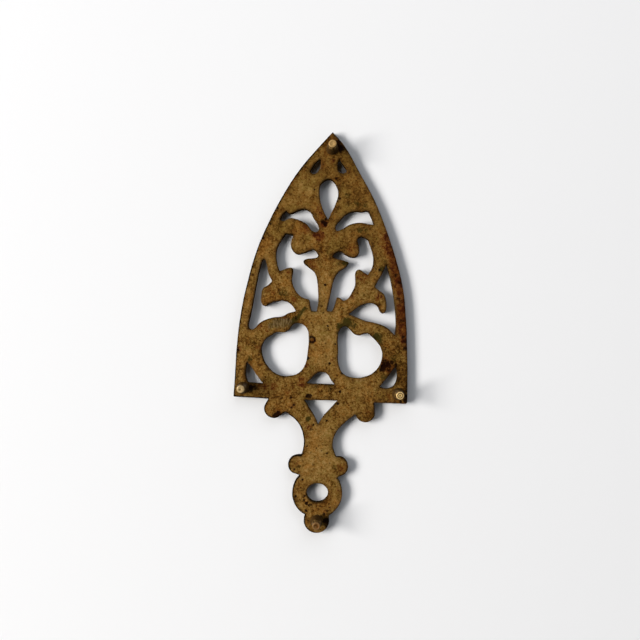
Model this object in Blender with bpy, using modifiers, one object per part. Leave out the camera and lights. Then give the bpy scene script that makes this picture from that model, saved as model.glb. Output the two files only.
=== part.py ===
"""Sad iron trivet: a flat pierced plate of cast brass, pointed like the sole of the iron that stands on it,
with a short handle and four turned feet riveted through it.

Frame: the trivet stands on its feet at z = 0. +Y runs from the handle to the nose, +Z is up, and the origin
is under the middle of the plate's length and width. Lengths below are in millimetres.
"""
import math

import bpy
import bmesh
from mathutils import Vector

MM = 0.001

# Driving dimensions
TOTAL_HEIGHT = 14.5
PLATE_THICKNESS = 4.0
CLEARANCE = 0.3           # gap between a foot and the plate around it
UNDERSIDE = TOTAL_HEIGHT - PLATE_THICKNESS

# Feet: a tapered peg, a tenon through the plate and a peened head in a countersink
FOOT_TIP_RADIUS = 2.5
FOOT_BASE_RADIUS = 3.75
TIP_BEVEL = 0.35
TURNING_MARK_RADIUS = 0.6
TURNING_MARK_DEPTH = 0.5
TENON_RADIUS = 2.0
HEAD_RADIUS = 3.0
HEAD_HEIGHT = 1.45
HEAD_RECESS = 0.05        # how far the head lies below the top face
TURNED_STEPS = 40
OVERSHOOT = 1.0           # how far a cutter stands out of the plate

FEET = {
    "nose_foot": (-1.4, 113.5),
    "handle_foot": (-0.5, -116.5),
    "right_rear_foot": (48.1, -36.0),
    "left_rear_foot": (-47.8, -36.2),
}

# Plate outline
BAR_EDGE = -42.2          # handle side of the straight cross bar
NOSE = 124.1
ARC_STEP = 32.0           # degrees between the points of a round lobe
OUTLINE_RESOLUTION = 4
OPENING_RESOLUTION = 4
WELD_DISTANCE = 1e-5      # metres

# A point is (x, y). A third value CORNER makes a sharp corner of it, and any other point is smooth.
CORNER = "VECTOR"
SMOOTH = "AUTO"


def lobe(centre, radius, start, end):
    """Smooth points along a round lobe, clockwise from the angle start to the angle end, in degrees."""
    steps = math.ceil((start - end) / ARC_STEP)
    points = []
    for step in range(steps + 1):
        angle = math.radians(start + (end - start) * step / steps)
        points.append((centre[0] + radius * math.cos(angle), centre[1] + radius * math.sin(angle)))
    return points


def plate_outline():
    """The outer edge, clockwise from the nose: right side, handle, left side."""
    right_side = [
        (-1.3, NOSE, CORNER), (8.7, 112.4), (18.4, 99.9), (28.4, 83.0), (36.9, 65.0), (42.6, 50.0),
        (47.7, 30.0), (51.2, 10.0), (52.9, -10.0), (53.4, -30.0), (53.8, BAR_EDGE + 0.4, CORNER),
    ]
    right_neck = [
        (21.2, -50.0, CORNER), (13.5, -56.0), (9.9, -63.3), (9.2, -70.0), (10.3, -76.3, CORNER),
    ]
    left_neck = [
        (-11.2, -76.7, CORNER), (-8.8, -69.5), (-10.0, -62.8), (-14.6, -56.4), (-22.1, -49.9, CORNER),
    ]
    left_side = [
        (-33.5, BAR_EDGE, CORNER), (-53.1, BAR_EDGE, CORNER), (-53.8, BAR_EDGE + 0.9, CORNER),
        (-53.5, -28.0), (-52.6, -10.0), (-51.1, 10.0), (-48.3, 30.0), (-42.4, 50.0), (-36.8, 65.0),
        (-28.7, 83.0), (-18.7, 100.0), (-8.9, 115.8),
    ]
    return (
        right_side
        + [(32.1, BAR_EDGE, CORNER)]
        + lobe((28.6, -48.1), 6.0, 40, -140)
        + right_neck
        + lobe((12.5, -82.3), 5.9, 80, -85)
        + [(10.9, -88.7, CORNER)]
        + lobe((-0.3, -99.4), 15.5, 28, -48)
        + [(6.7, -113.0, CORNER)]
        + lobe((-0.5, -116.2), 7.9, 5, -185)
        + [(-7.9, -113.0, CORNER)]
        + lobe((-0.3, -99.4), 15.5, -134, -206)
        + [(-12.3, -89.5, CORNER)]
        + lobe((-12.7, -82.5), 6.1, -100, -265)
        + left_neck
        + lobe((-28.1, -48.5), 6.1, -38, -198)
        + left_side
    )


# Openings, each clockwise or anticlockwise as it is easiest to follow
LEFT_TIP_LEAF = [
    (-6.1, 107.6, CORNER), (-5.3, 104.9), (-5.4, 101.7), (-6.4, 99.6), (-8.4, 98.8),
    (-11.2, 100.0, CORNER), (-9.6, 102.9), (-7.5, 105.4),
]
RIGHT_TIP_LEAF = [
    (5.5, 107.3, CORNER), (5.4, 103.3), (7.0, 99.3), (9.2, 97.9), (11.7, 98.5, CORNER), (10.5, 101.6),
    (8.5, 104.6),
]
TEARDROP = [
    (-1.0, 94.9), (-4.8, 91.2), (-6.2, 86.4), (-4.7, 79.9), (-0.5, 69.8, CORNER), (3.2, 76.8),
    (5.4, 86.4), (4.2, 92.3),
]
LEFT_CRESCENT = [
    (-29.0, 67.7, CORNER), (-26.7, 73.2), (-24.5, 76.2), (-21.6, 75.4), (-17.6, 75.6), (-12.3, 73.9),
    (-8.3, 70.1), (-5.3, 64.6), (-6.2, 63.1, CORNER), (-8.7, 63.9), (-14.0, 67.3), (-20.8, 68.7),
    (-26.2, 68.0),
]
RIGHT_CRESCENT = [
    (4.9, 64.4), (8.5, 70.6), (10.6, 74.2), (14.2, 75.7), (18.7, 74.6), (23.4, 72.7),
    (25.5, 74.2, CORNER), (27.7, 71.9), (29.4, 68.6, CORNER), (27.2, 67.9), (23.4, 69.8), (18.0, 69.1),
    (12.4, 66.4), (8.6, 62.2), (6.0, 62.2),
]
LEFT_SCROLL = [
    (-25.8, 58.4, CORNER), (-23.4, 59.6), (-21.0, 60.1), (-19.3, 58.2), (-20.2, 54.0), (-20.6, 50.4),
    (-18.9, 47.6), (-16.1, 47.0), (-12.4, 48.4), (-8.3, 50.5), (-5.4, 49.2), (-4.3, 46.9, CORNER),
    (-7.8, 45.6), (-11.8, 44.8), (-14.6, 43.6, CORNER), (-12.8, 41.0), (-8.3, 37.7), (-5.6, 32.6),
    (-4.3, 26.0), (-3.1, 19.5), (-2.1, 13.4, CORNER), (-5.2, 13.3, CORNER), (-6.6, 17.4),
    (-7.7, 22.2, CORNER), (-9.6, 21.8), (-12.0, 20.2), (-14.6, 21.6), (-17.0, 25.6), (-18.9, 30.6),
    (-18.7, 35.0), (-18.9, 38.6), (-20.7, 39.8), (-23.4, 38.4), (-26.4, 36.6, CORNER), (-28.4, 39.8),
    (-29.6, 45.0), (-28.8, 50.4), (-27.3, 54.6),
]
RIGHT_SCROLL = [
    (20.3, 59.6, CORNER), (25.4, 60.2, CORNER), (27.4, 56.7), (29.9, 52.0), (30.7, 46.8), (29.8, 41.2),
    (28.2, 36.9, CORNER), (25.6, 38.0), (22.4, 39.3), (20.2, 38.9), (20.0, 36.2), (20.3, 31.2),
    (18.3, 26.0), (15.4, 22.4), (12.2, 20.7), (9.3, 20.0), (8.4, 16.4), (7.4, 13.0, CORNER),
    (4.3, 13.0, CORNER), (3.7, 18.6), (4.0, 25.2), (4.8, 31.6), (6.4, 36.6), (10.4, 40.0), (13.8, 43.5),
    (12.0, 45.0), (8.2, 45.6), (5.0, 46.6), (5.2, 48.8), (7.6, 51.2, CORNER), (10.6, 50.0), (14.2, 48.5),
    (17.6, 47.8), (20.6, 49.9), (22.0, 53.2), (21.6, 56.6),
]
LEFT_SIDE_OPENING = [
    (-37.6, 43.7, CORNER), (-35.6, 38.4), (-33.1, 33.4), (-31.1, 29.5, CORNER), (-33.6, 27.4),
    (-36.8, 25.2), (-38.3, 21.4), (-38.7, 16.6), (-37.1, 13.2), (-35.1, 14.0), (-33.2, 17.4),
    (-29.8, 19.3), (-25.6, 18.6), (-20.6, 16.0), (-15.7, 11.8, CORNER), (-20.0, 10.4), (-25.8, 8.3),
    (-32.4, 7.1), (-39.0, 4.8), (-44.7, -0.1, CORNER), (-45.0, 7.0), (-44.3, 14.4), (-42.9, 23.6),
    (-40.8, 33.4),
]
RIGHT_SIDE_OPENING = [
    (37.9, 43.9), (36.6, 41.4), (35.2, 35.4), (32.6, 30.4, CORNER), (35.2, 27.8), (38.3, 25.6),
    (39.0, 21.4), (38.6, 16.6), (36.6, 14.8), (33.4, 16.8), (28.4, 18.4), (24.0, 18.4), (20.2, 16.4),
    (17.2, 12.5, CORNER), (21.8, 11.1), (25.4, 9.0), (31.6, 8.0), (38.2, 5.3), (44.6, 0.2), (46.0, 1.6),
    (45.2, 8.0), (43.6, 18.6), (42.0, 29.0), (40.0, 39.6),
]
LEFT_RING = [
    (-30.2, -1.3, CORNER), (-28.2, 0.3), (-25.2, 0.0), (-22.3, -1.1), (-19.2, -0.1), (-16.6, 2.5),
    (-13.4, 4.3), (-10.6, 2.2), (-9.5, -2.6), (-9.9, -11.0), (-10.5, -19.2), (-13.6, -25.0),
    (-20.0, -27.3), (-28.0, -26.2), (-34.0, -22.1), (-37.1, -16.0), (-36.9, -9.4), (-33.8, -4.6),
]
RIGHT_RING = [
    (12.0, 4.0), (15.8, 5.2), (18.8, 4.0), (20.8, 0.9), (24.2, -1.0), (28.6, -1.0), (31.7, -2.9),
    (35.2, -5.5), (37.5, -10.6), (36.6, -16.6), (32.8, -23.0), (27.0, -27.2), (20.4, -27.8),
    (13.8, -25.5), (10.2, -20.0), (9.0, -12.0), (8.7, -3.6), (9.6, 1.2),
]
LEFT_CORNER_LEAF = [
    (-45.9, -19.4, CORNER), (-43.7, -22.0), (-41.2, -25.9), (-36.4, -32.4, CORNER), (-40.4, -33.1),
    (-44.6, -31.7), (-46.7, -28.0), (-46.8, -23.2),
]
RIGHT_CORNER_LEAF = [
    (46.1, -19.8, CORNER), (46.8, -24.0), (46.5, -28.8), (45.2, -32.6, CORNER), (35.6, -33.0, CORNER),
    (39.4, -28.8), (43.0, -23.6),
]
LOWER_OPENING = [
    (-8.4, -32.0, CORNER), (-5.8, -28.8), (-4.0, -26.0), (-1.8, -24.8), (1.6, -24.8), (3.8, -26.2),
    (6.0, -28.9), (8.9, -31.8, CORNER),
]
HANDLE_TRIANGLE = [
    (-10.8, -41.8, CORNER), (9.9, -42.1, CORNER), (7.2, -46.2), (3.6, -51.3), (0.7, -57.1, CORNER),
    (-2.7, -51.2), (-6.6, -46.7),
]
HANG_HOLE_CENTRE = (-0.4, -99.2)
HANG_HOLE_RADII = (6.6, 5.8)
HANG_HOLE_POINTS = 8


def hang_hole():
    """The slightly oval hole in the handle's disc."""
    points = []
    for step in range(HANG_HOLE_POINTS):
        angle = 2 * math.pi * step / HANG_HOLE_POINTS
        points.append((
            HANG_HOLE_CENTRE[0] + HANG_HOLE_RADII[0] * math.cos(angle),
            HANG_HOLE_CENTRE[1] + HANG_HOLE_RADII[1] * math.sin(angle),
        ))
    return points


OPENINGS = [
    LEFT_TIP_LEAF, RIGHT_TIP_LEAF, TEARDROP, LEFT_CRESCENT, RIGHT_CRESCENT, LEFT_SCROLL, RIGHT_SCROLL,
    LEFT_SIDE_OPENING, RIGHT_SIDE_OPENING, LEFT_RING, RIGHT_RING, LEFT_CORNER_LEAF, RIGHT_CORNER_LEAF,
    LOWER_OPENING, HANDLE_TRIANGLE,
]


def clear_scene():
    """Start from an empty scene."""
    for scene_object in list(bpy.data.objects):
        bpy.data.objects.remove(scene_object, do_unlink=True)


def new_collection(name):
    """A collection linked to the scene."""
    collection = bpy.data.collections.new(name)
    bpy.context.scene.collection.children.link(collection)
    return collection


def brass(name, colour, roughness):
    """A Principled brass with a plain colour."""
    material = bpy.data.materials.new(name)
    material.use_nodes = True
    shader = material.node_tree.nodes["Principled BSDF"]
    shader.inputs["Base Color"].default_value = (*colour, 1.0)
    shader.inputs["Metallic"].default_value = 1.0
    shader.inputs["Roughness"].default_value = roughness
    return material


def add_edge(curve, points, resolution):
    """Add one closed edge to a flat curve, smooth but for its corners."""
    spline = curve.splines.new("BEZIER")
    spline.resolution_u = resolution
    spline.use_cyclic_u = True
    spline.bezier_points.add(len(points) - 1)
    for bezier_point, point in zip(spline.bezier_points, points):
        bezier_point.co = Vector((point[0], point[1], 0.0)) * MM
    for bezier_point, point in zip(spline.bezier_points, points):
        handle = point[2] if len(point) > 2 else SMOOTH
        bezier_point.handle_left_type = handle
        bezier_point.handle_right_type = handle


def curve_to_mesh_object(curve_object, collection):
    """Replace a curve object by a mesh object of the same shape, with its caps welded on."""
    name = curve_object.name
    depsgraph = bpy.context.evaluated_depsgraph_get()
    mesh = bpy.data.meshes.new_from_object(curve_object.evaluated_get(depsgraph))
    work = bmesh.new()
    work.from_mesh(mesh)
    bmesh.ops.remove_doubles(work, verts=work.verts, dist=WELD_DISTANCE)
    bmesh.ops.recalc_face_normals(work, faces=work.faces)
    work.to_mesh(mesh)
    work.free()
    matrix = curve_object.matrix_world.copy()
    bpy.data.objects.remove(curve_object, do_unlink=True)
    mesh_object = bpy.data.objects.new(name, mesh)
    mesh_object.matrix_world = matrix
    collection.objects.link(mesh_object)
    return mesh_object


def make_plate(collection):
    """The casting: one flat outline with all its openings, as thick as the plate."""
    curve = bpy.data.curves.new("plate", "CURVE")
    curve.dimensions = "2D"
    curve.fill_mode = "BOTH"
    curve.extrude = PLATE_THICKNESS / 2 * MM
    add_edge(curve, plate_outline(), OUTLINE_RESOLUTION)
    for opening in OPENINGS:
        add_edge(curve, opening, OPENING_RESOLUTION)
    add_edge(curve, hang_hole(), OPENING_RESOLUTION)
    curve_object = bpy.data.objects.new("plate", curve)
    curve_object.location.z = (UNDERSIDE + PLATE_THICKNESS / 2) * MM
    collection.objects.link(curve_object)
    bpy.context.view_layer.update()
    return curve_to_mesh_object(curve_object, collection)


def turned(name, profile, collection):
    """A turned solid from (radius, height) points in millimetres, top to bottom on its outer side."""
    mesh = bpy.data.meshes.new(name)
    vertices = [(radius * MM, 0.0, height * MM) for radius, height in profile]
    edges = [(index, index + 1) for index in range(len(vertices) - 1)]
    mesh.from_pydata(vertices, edges, [])
    turned_object = bpy.data.objects.new(name, mesh)
    collection.objects.link(turned_object)
    screw = turned_object.modifiers.new("Turn", "SCREW")
    screw.axis = "Z"
    screw.steps = TURNED_STEPS
    screw.render_steps = TURNED_STEPS
    screw.use_merge_vertices = True
    screw.merge_threshold = WELD_DISTANCE
    screw.use_smooth_shade = True
    return turned_object


def foot_profile():
    """Half section of a foot: peened head, tenon, shoulder, tapered peg and the turning mark in its tip."""
    head_top = TOTAL_HEIGHT - HEAD_RECESS
    shoulder = UNDERSIDE - CLEARANCE
    return [
        (0.0, head_top),
        (HEAD_RADIUS, head_top),
        (TENON_RADIUS, head_top - HEAD_HEIGHT),
        (TENON_RADIUS, shoulder),
        (FOOT_BASE_RADIUS, shoulder),
        (FOOT_TIP_RADIUS, TIP_BEVEL),
        (FOOT_TIP_RADIUS - TIP_BEVEL, 0.0),
        (TURNING_MARK_RADIUS, 0.0),
        (0.0, TURNING_MARK_DEPTH),
    ]


def rivet_hole_profile():
    """Half section of the cutter for a tenon's hole and the countersink of its head."""
    cone_slope = (HEAD_RADIUS - TENON_RADIUS) / HEAD_HEIGHT
    cone_gap = CLEARANCE * math.hypot(1.0, cone_slope)
    neck_height = TOTAL_HEIGHT - HEAD_RECESS - HEAD_HEIGHT
    hole_radius = TENON_RADIUS + CLEARANCE
    cone_foot = neck_height + (hole_radius - TENON_RADIUS - cone_gap) / cone_slope
    above = TOTAL_HEIGHT + OVERSHOOT
    below = UNDERSIDE - OVERSHOOT
    return [
        (0.0, above),
        (hole_radius + (above - cone_foot) * cone_slope, above),
        (hole_radius, cone_foot),
        (hole_radius, below),
        (0.0, below),
    ]


def make_feet(plate, collection, cutters):
    """Four turned feet, and the holes in the plate that their tenons pass through."""
    foot_brass = brass("foot_brass", (0.42, 0.26, 0.11), 0.45)
    for name, (x, y) in FEET.items():
        foot = turned(name, foot_profile(), collection)
        foot.location = (x * MM, y * MM, 0.0)
        foot.data.materials.append(foot_brass)
        cutter = turned(name + "_hole", rivet_hole_profile(), cutters)
        cutter.location = (x * MM, y * MM, 0.0)
        cutter.hide_render = True
        cutter.display_type = "WIRE"
        cut = plate.modifiers.new(name + "_hole", "BOOLEAN")
        cut.operation = "DIFFERENCE"
        cut.solver = "EXACT"
        cut.object = cutter


def main():
    clear_scene()
    trivet = new_collection("sad_iron_trivet")
    cutters = new_collection("cutters")
    plate = make_plate(trivet)
    plate.data.materials.append(brass("plate_brass", (0.18, 0.095, 0.025), 0.55))
    make_feet(plate, trivet, cutters)


main()
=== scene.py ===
"""Sad iron trivet: the looks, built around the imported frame.

The plate and the feet are remade as fine meshes, with softened arrises, cast skin, pits and turning marks,
inside the outlines of the CAD nodes that they replace. The photograph shows the trivet's underside, so the
main camera stands below it and looks up.
"""

import math

import bmesh
import bpy
import numpy as np
from mathutils import Euler, Matrix, Vector, noise
from mathutils.geometry import delaunay_2d_cdt


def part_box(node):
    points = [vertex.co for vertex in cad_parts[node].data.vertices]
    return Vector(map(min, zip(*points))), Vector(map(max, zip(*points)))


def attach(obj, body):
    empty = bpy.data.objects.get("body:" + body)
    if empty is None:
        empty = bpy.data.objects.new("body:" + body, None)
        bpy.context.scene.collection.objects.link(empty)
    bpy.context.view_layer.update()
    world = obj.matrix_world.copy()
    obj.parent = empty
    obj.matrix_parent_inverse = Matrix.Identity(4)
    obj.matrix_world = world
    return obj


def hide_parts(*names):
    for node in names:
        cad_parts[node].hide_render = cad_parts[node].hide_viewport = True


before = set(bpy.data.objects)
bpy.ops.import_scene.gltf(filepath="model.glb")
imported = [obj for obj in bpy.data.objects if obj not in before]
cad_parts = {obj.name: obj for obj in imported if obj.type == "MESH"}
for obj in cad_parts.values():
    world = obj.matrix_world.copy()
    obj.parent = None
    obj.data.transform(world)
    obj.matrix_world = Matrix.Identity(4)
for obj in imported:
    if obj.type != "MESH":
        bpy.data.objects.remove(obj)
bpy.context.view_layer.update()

MM = 0.001
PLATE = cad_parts["plate"]
PLATE_LOW, PLATE_HIGH = (Vector(corner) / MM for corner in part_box("plate"))
UNDERSIDE = PLATE_LOW.z
TOP_FACE = PLATE_HIGH.z

# ---- node graphs


class Graph:
    """Short names for the nodes that the materials and the room use."""

    def __init__(self, owner):
        owner.use_nodes = True
        self.owner = owner
        self.tree = owner.node_tree

    def put(self, socket, value):
        """Link a socket to another, or set it to a number, a vector or a colour."""
        if isinstance(value, bpy.types.NodeSocket):
            self.tree.links.new(value, socket)
        elif hasattr(socket.default_value, "__len__") and len(socket.default_value) == 4:
            socket.default_value = (*value, 1.0)
        else:
            socket.default_value = value

    def set(self, name, inputs):
        """Link or set the inputs of a node that the tree has from the start."""
        for key, value in inputs.items():
            self.put(self.tree.nodes[name].inputs[key], value)

    def node(self, kind, inputs, output=0, **settings):
        """One output of a new node whose inputs are linked or set."""
        node = self.tree.nodes.new("ShaderNode" + kind)
        for name, value in settings.items():
            setattr(node, name, value)
        for key, value in inputs.items():
            self.put(node.inputs[key], value)
        return node.outputs[output]

    def place_mm(self):
        """The point's place on its own object, in millimetres."""
        return self.stretch(self.node("TexCoord", {}, "Object"), (1 / MM, 1 / MM, 1 / MM))

    def attribute(self, name):
        return self.node("Attribute", {}, "Fac", attribute_name=name)

    def noise(self, place, scale, detail=2.0, roughness=0.5, distortion=0.0, output="Fac"):
        return self.node("TexNoise", {
            "Vector": place, "Scale": scale, "Detail": detail, "Roughness": roughness,
            "Distortion": distortion}, output)

    def math(self, operation, a, b=0.0, clamp=False):
        return self.node("Math", {0: a, 1: b}, operation=operation, use_clamp=clamp)

    def ramp(self, value, low, high, to_low=0.0, to_high=1.0):
        """A smooth step of value from low to high."""
        return self.node("MapRange", {
            "Value": value, "From Min": low, "From Max": high, "To Min": to_low, "To Max": to_high},
            interpolation_type="SMOOTHSTEP")

    def scale_add(self, value, factor, offset):
        return self.node("Math", {0: value, 1: factor, 2: offset}, operation="MULTIPLY_ADD")

    def weigh(self, start, *weighted):
        """start plus the sum of weight * (value - 0.5) over the weighted noises."""
        total = start
        for value, weight in weighted:
            total = self.math("ADD", self.scale_add(value, weight, -0.5 * weight), total)
        return total

    def colours(self, value, stops):
        """A colour ramp through (position, colour) stops."""
        node = self.tree.nodes.new("ShaderNodeValToRGB")
        ramp = node.color_ramp
        while len(ramp.elements) < len(stops):
            ramp.elements.new(0.5)
        for element, (position, colour) in zip(ramp.elements, stops):
            element.position = position
            element.color = (*colour, 1.0)
        self.put(node.inputs[0], value)
        return node.outputs[0]

    def mix(self, factor, a, b, blend="MIX"):
        return self.node("Mix", {0: factor, 6: a, 7: b}, 2, data_type="RGBA", blend_type=blend)

    def vector(self, operation, a, b=(0.0, 0.0, 0.0), output=0):
        return self.node("VectorMath", {0: a, 1: b}, output, operation=operation)

    def stretch(self, place, scales):
        return self.vector("MULTIPLY", place, scales)

    def axis(self, place, number):
        return self.node("SeparateXYZ", {0: place}, number)

    def shaken(self, place, amount):
        """The place shaken by fine noise, so that what is drawn there has uneven edges."""
        shake = self.vector("SUBTRACT", self.noise(place, 1.3, 2.0, 0.6, output="Color"), (0.5, 0.5, 0.5))
        return self.vector("ADD", place, self.stretch(shake, (amount * 2, amount * 2, amount * 2)))

    def bump(self, height, distance_mm, strength, **below):
        """A bumped normal, on top of another one if that is given as Normal."""
        return self.node("Bump", {
            "Height": height, "Distance": distance_mm * MM, "Strength": strength, **below})


# ---- camera, stage and light

VIEW_DISTANCE = 370.0  # mm, from the camera to the underside
VIEW_WIDTH = 395.4  # mm across the picture, at the underside
VIEW_CENTRE = (2.1, 7.6)  # mm, the point of the underside at the middle of the picture
VIEW_FOOT = (2.1, -2.0)  # mm, the point of the underside straight above the camera
VIEW_TURN = 2.22  # degrees, how far the trivet is turned clockwise in the picture
SENSOR = 36.0  # mm
FLOOR_GAP = 0.0002  # m between the feet and the floor, so that they don't share a plane
FLOOR_COLOUR = (0.84, 0.84, 0.84)  # also what the camera sees where the sheets end
BACKDROP_COLOUR = (0.88, 0.88, 0.88)
ROOM_COLOUR = (0.96, 0.99, 1.04)
ROOM_LIGHT = 0.40  # brightness of the room's walls, beside a lit floor's 0.87
CEILING_LIGHT = 0.22  # added to it above the floor, for the views from above
CEILING_RISE = 0.15  # sine of the elevation where all of it is there
WALLS_END = (0.48, 0.62)  # sine of the elevation where the bright walls begin and end to fade

# Each light has its azimuth and elevation in degrees, with 0 at +X and 90 at +Y, its distance and its size
# in metres, its power in watts and its colour.
LIGHTS = {
    "key_below": (-3.5, -28.0, 4.6, (3.0, 1.3), 354.0, (1.0, 0.978, 0.955)),
    "nose_below": (104.0, -25.0, 3.0, (5.4, 1.6), 38.0, (0.94, 0.98, 1.05)),
    "side_below": (25.0, -48.0, 3.0, (3.6, 0.9), 12.0, (0.95, 0.99, 1.04)),
    "key_above": (12.0, 60.0, 3.6, (1.8, 1.8), 60.0, (1.0, 0.97, 0.93)),
    "fill_above": (150.0, 70.0, 4.0, (2.6, 2.6), 28.0, (1.0, 0.98, 0.95)),
}


def new_object(name, data):
    thing = bpy.data.objects.new(name, data)
    bpy.context.scene.collection.objects.link(thing)
    return thing


def look_up_camera():
    """The main camera: under the trivet, looking up at its underside, nose up in the picture."""
    data = bpy.data.cameras.new("camera")
    data.sensor_width = SENSOR
    data.lens = SENSOR * VIEW_DISTANCE / VIEW_WIDTH
    data.clip_start = 0.01
    camera = new_object("camera", data)
    place = Vector((*VIEW_FOOT, UNDERSIDE - VIEW_DISTANCE)) * MM
    forward = Vector((0.0, 0.0, 1.0))
    turn = math.radians(VIEW_TURN)
    up = Vector((math.sin(turn), math.cos(turn), 0.0))
    right = forward.cross(up)
    camera.matrix_world = Matrix.Translation(place) @ Matrix((right, up, -forward)).transposed().to_4x4()
    aside = Vector(VIEW_CENTRE) - Vector(VIEW_FOOT)
    data.shift_x = aside.dot(right.xy) / VIEW_WIDTH
    data.shift_y = aside.dot(up.xy) / VIEW_WIDTH
    bpy.context.scene.camera = camera


def one_sided_sheet(name, size, height, faces_up, colour):
    """A pale stage sheet that is seen from its own side only and lets the other side's light pass."""
    g = Graph(bpy.data.materials.new(name))
    g.tree.nodes.remove(g.tree.nodes["Principled BSDF"])
    paper = g.node("BsdfDiffuse", {"Color": colour})
    clear = g.node("BsdfTransparent", {})
    behind = g.node("NewGeometry", {}, "Backfacing")
    g.set("Material Output", {"Surface": g.node("MixShader", {0: behind, 1: paper, 2: clear})})
    mesh = bpy.data.meshes.new(name)
    half = size / 2
    corners = [(-half, -half, 0.0), (half, -half, 0.0), (half, half, 0.0), (-half, half, 0.0)]
    mesh.from_pydata(corners, [], [(0, 1, 2, 3) if faces_up else (3, 2, 1, 0)])
    mesh.materials.append(g.owner)
    sheet = new_object(name, mesh)
    sheet.location.z = height
    sheet.visible_shadow = False
    sheet.visible_diffuse = False
    sheet.visible_glossy = False


def softbox(name, azimuth, elevation, distance, size, power, colour):
    """A wide area light aimed at the trivet."""
    data = bpy.data.lights.new(name, "AREA")
    data.shape = "RECTANGLE"
    data.size, data.size_y = size
    data.energy = power
    data.color = colour
    light = new_object(name, data)
    direction = Vector((1.0, 0.0, 0.0))
    direction.rotate(Euler((0.0, math.radians(-elevation), math.radians(azimuth))))
    light.location = direction * distance + Vector((0.0, 0.0, UNDERSIDE * MM))
    light.rotation_euler = direction.to_track_quat("Z", "Y").to_euler()


def pale_room():
    """A world that looks pale, but lights only from its walls and, more weakly, from its ceiling."""
    g = Graph(bpy.data.worlds.new("studio"))
    upward = g.axis(g.node("TexCoord", {}, "Generated"), 2)
    walls = g.ramp(g.math("ABSOLUTE", upward), *WALLS_END, ROOM_LIGHT, 0.0)
    ceiling = g.node("MapRange", {
        "Value": upward, "From Max": CEILING_RISE, "To Max": CEILING_LIGHT})
    g.set("Background", {"Color": ROOM_COLOUR, "Strength": g.math("ADD", walls, ceiling)})
    seen = g.node("Background", {"Color": FLOOR_COLOUR})
    camera_ray = g.node("LightPath", {}, "Is Camera Ray")
    lit = g.tree.nodes["Background"].outputs[0]
    g.set("World Output", {"Surface": g.node("MixShader", {0: camera_ray, 1: lit, 2: seen})})
    bpy.context.scene.world = g.owner


def studio():
    """Pale floor under the feet, pale backdrop behind the plate for the view from below, soft light."""
    backdrop_height = (TOP_FACE - 0.5 * TOP_ARRIS) * MM
    one_sided_sheet("floor", 5.0, -FLOOR_GAP, True, FLOOR_COLOUR)
    one_sided_sheet("backdrop", 8.0, backdrop_height, False, BACKDROP_COLOUR)
    for name, values in LIGHTS.items():
        softbox(name, *values)
    pale_room()
    bpy.context.scene.view_settings.view_transform = "Standard"


# ---- materials


def paint(red, green, blue, gain=1.0):
    """A linear colour from an sRGB one in 0 to 255, brightened by gain."""
    shares = np.array([red, green, blue]) / 255
    linear = np.where(shares <= 0.04045, shares / 12.92, ((shares + 0.055) / 1.055) ** 2.4)
    return tuple(linear * gain)


SKIN_GAIN = 1.39  # the half-metallic skin reflects less of the lamps than a matt one would
SKIN_TONES = [(position, paint(*colour, SKIN_GAIN)) for position, colour in (
    (0.12, (42, 24, 5)), (0.28, (68, 43, 13)), (0.40, (92, 63, 24)), (0.50, (107, 77, 33)),
    (0.60, (118, 88, 41)), (0.72, (127, 97, 49)), (0.88, (140, 111, 64)))]
REDDISH = (1.06, 0.88, 0.70)
GREENISH = (0.90, 0.98, 0.90)
SMOKY = (0.60, 0.56, 0.60)
FRECKLE = paint(52, 30, 9)
EDGE_DIRT = paint(22, 14, 5)
RUST = paint(98, 52, 18, 1.3)
MAROON = paint(56, 19, 8, 1.2)
# Colour of the dark stains, and of the painted shadows beside the feet.
DARK_STAIN_AND_SHADOW = paint(24, 9, 5)
OLIVE = paint(46, 42, 12, 1.1)
GREY_DIRT = paint(60, 50, 26)
GREY_WORN = paint(118, 100, 68)
# Painted shade: the near-black colour that every wall of the edges and openings is given.
WALL_PAINTED_SHADE = paint(16, 11, 6)
WORN_DULL = (0.40, 0.25, 0.085)
WORN_BRIGHT = (0.56, 0.37, 0.13)
# The feet's side colour, darkened partly as painted shade for their unlit sides.
FOOT_SIDE_WITH_PAINTED_SHADE = paint(52, 35, 13, 1.25)
FOOT_SIDE_WORN = paint(134, 106, 60, 1.3)
GROOVE_DIRT = paint(84, 58, 20, 1.2)
MARK_DIRT = paint(44, 28, 4)


def thin_lines(g, place, mottle):
    """Where thin curved lines run, like cracks. They fade in the light parts of the mottling."""
    bend = g.noise(place, 0.13, 3.0, 0.6, 0.8)
    line = g.ramp(g.math("ABSOLUTE", g.math("SUBTRACT", bend, 0.5)), 0.016, 0.003)
    return g.math("MULTIPLY", line, g.ramp(mottle, 0.62, 0.42))


def freckles(g, place):
    """Where dark freckles lie: about two cells in five of a pattern have one, and their sizes differ."""
    cells = g.tree.nodes.new("ShaderNodeTexVoronoi")
    cells.voronoi_dimensions = "2D"
    g.put(cells.inputs["Vector"], g.shaken(place, 0.55))
    g.put(cells.inputs["Scale"], 0.42)
    size = g.ramp(g.axis(cells.outputs["Color"], 0), 0.60, 1.0, 0.0, 0.22)
    return g.ramp(g.math("SUBTRACT", size, cells.outputs["Distance"]), -0.06, 0.14, 0.0, 0.62)


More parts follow.
